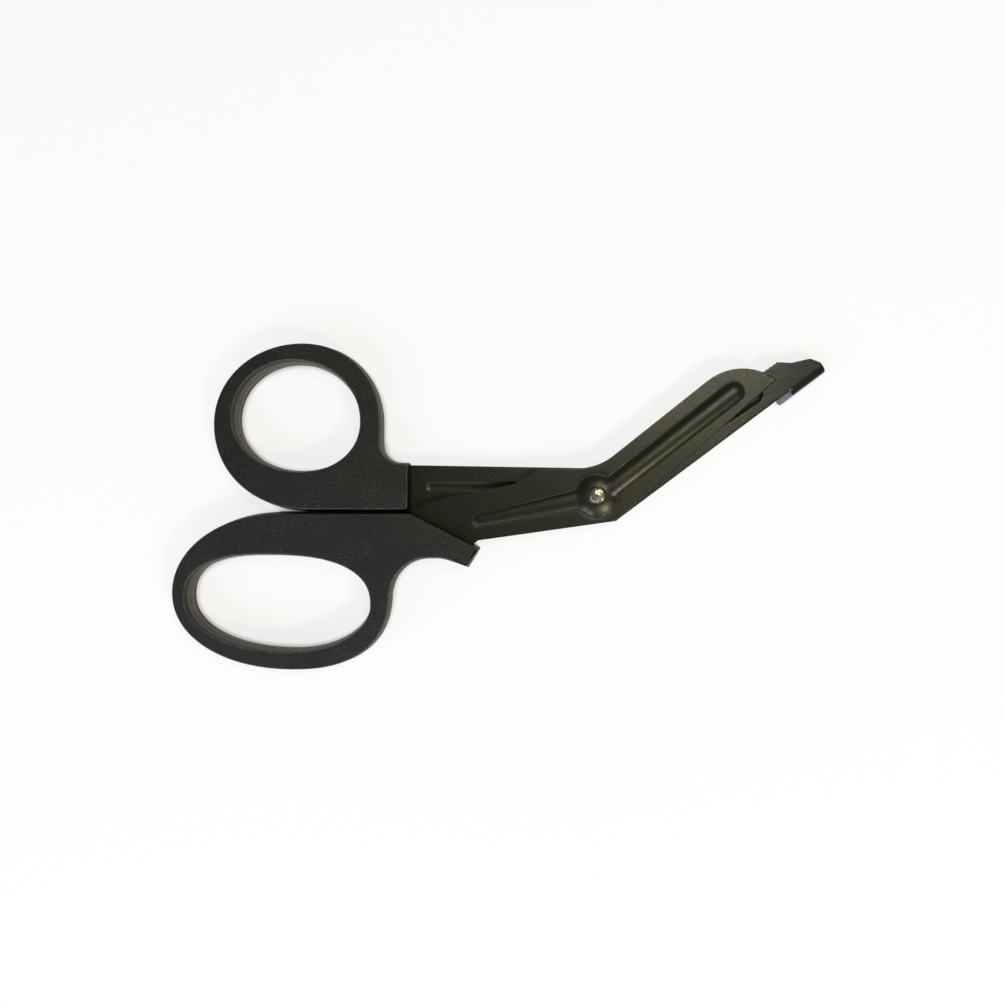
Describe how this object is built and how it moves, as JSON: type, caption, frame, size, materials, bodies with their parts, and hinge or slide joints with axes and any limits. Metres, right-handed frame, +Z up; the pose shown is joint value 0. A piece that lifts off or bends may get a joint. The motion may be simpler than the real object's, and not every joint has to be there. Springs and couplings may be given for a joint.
{
  "type": "trauma shears",
  "caption": "Bent trauma shears with dark coated blades, a serrated blunt-footed lower blade, a rivet pivot and black moulded handles.",
  "frame": {"origin": "middle of the closed shears in plan, on the surface they lie on", "axes": "+X from the finger bows towards the blunt tip, +Y towards the thumb bow, +Z up out of the surface they lie on"},
  "size_m": [0.19, 0.0944, 0.01],
  "materials": {
    "coated_steel": "dark olive-grey satin coating on pressed sheet steel",
    "handle_plastic": "fine moulded grain, near-black",
    "rivet_steel": "bright turned head with small press marks"
  },
  "bodies": {
    "rear_half": {"rear_blade": "coated_steel", "thumb_handle": "handle_plastic", "pivot_rivet": "rivet_steel"},
    "front_half": {"front_blade": "coated_steel", "finger_handle": "handle_plastic"}
  },
  "joints": [
    {"name": "blade_pivot", "type": "hinge", "parent": "rear_half", "child": "front_half", "pos_m": [0.02743, 0.00312, 0.005], "axis": [0, 0, 1], "range_deg": [0, 55]}
  ]
}
